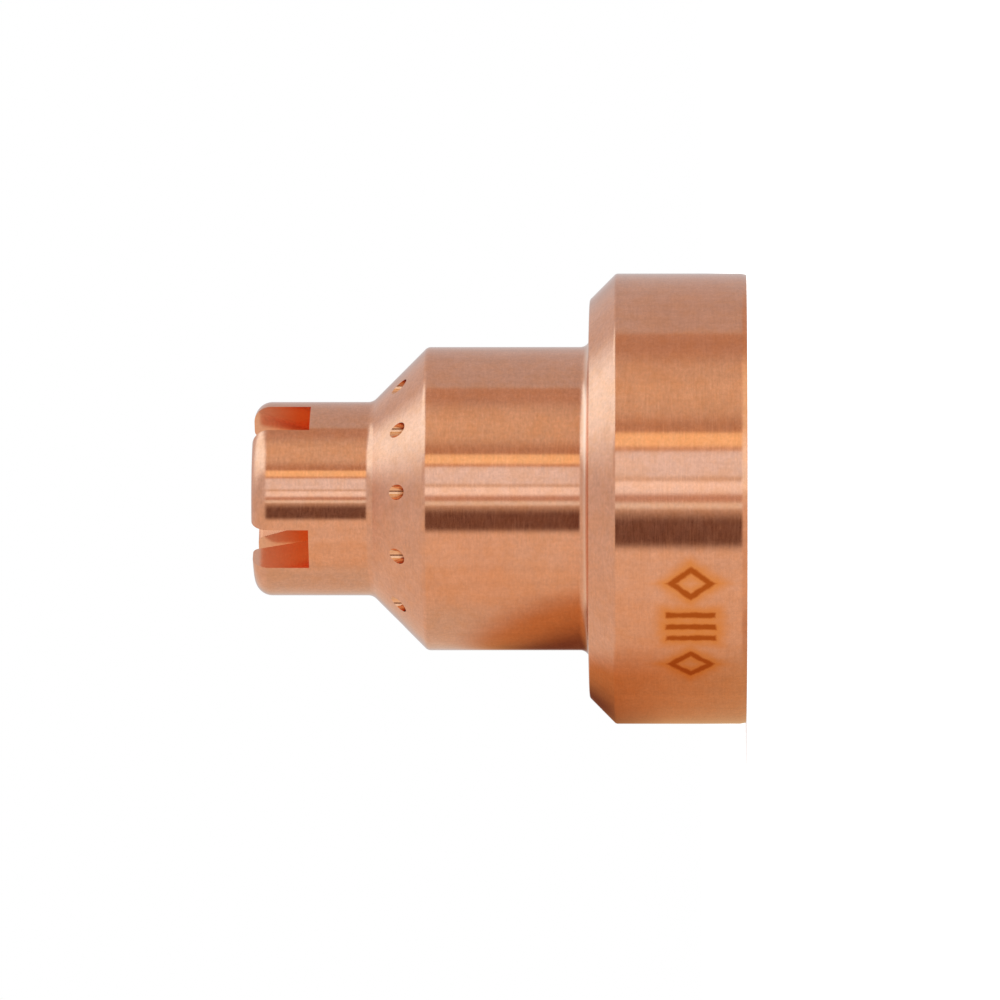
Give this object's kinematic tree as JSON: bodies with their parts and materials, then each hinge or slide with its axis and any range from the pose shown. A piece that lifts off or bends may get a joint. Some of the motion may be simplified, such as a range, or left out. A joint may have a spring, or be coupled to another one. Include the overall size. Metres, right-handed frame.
{
  "type": "plasma torch shield",
  "caption": "Turned copper shield for a plasma torch: threaded flange, stepped body, coned front with vents, and a slotted nose with a flared cup.",
  "frame": {"origin": "on the turning axis, in the plane of the flange's rear face", "axes": "+Z along the turning axis, from the flange to the nose; +X and +Y are square to it, and a vent lies 2.9 degrees from +X"},
  "size_m": [0.03, 0.03, 0.0327],
  "materials": {
    "copper": "bare turned copper, satin, with fine turning marks"
  },
  "bodies": {
    "root": {"shield": "copper"}
  },
  "joints": []
}
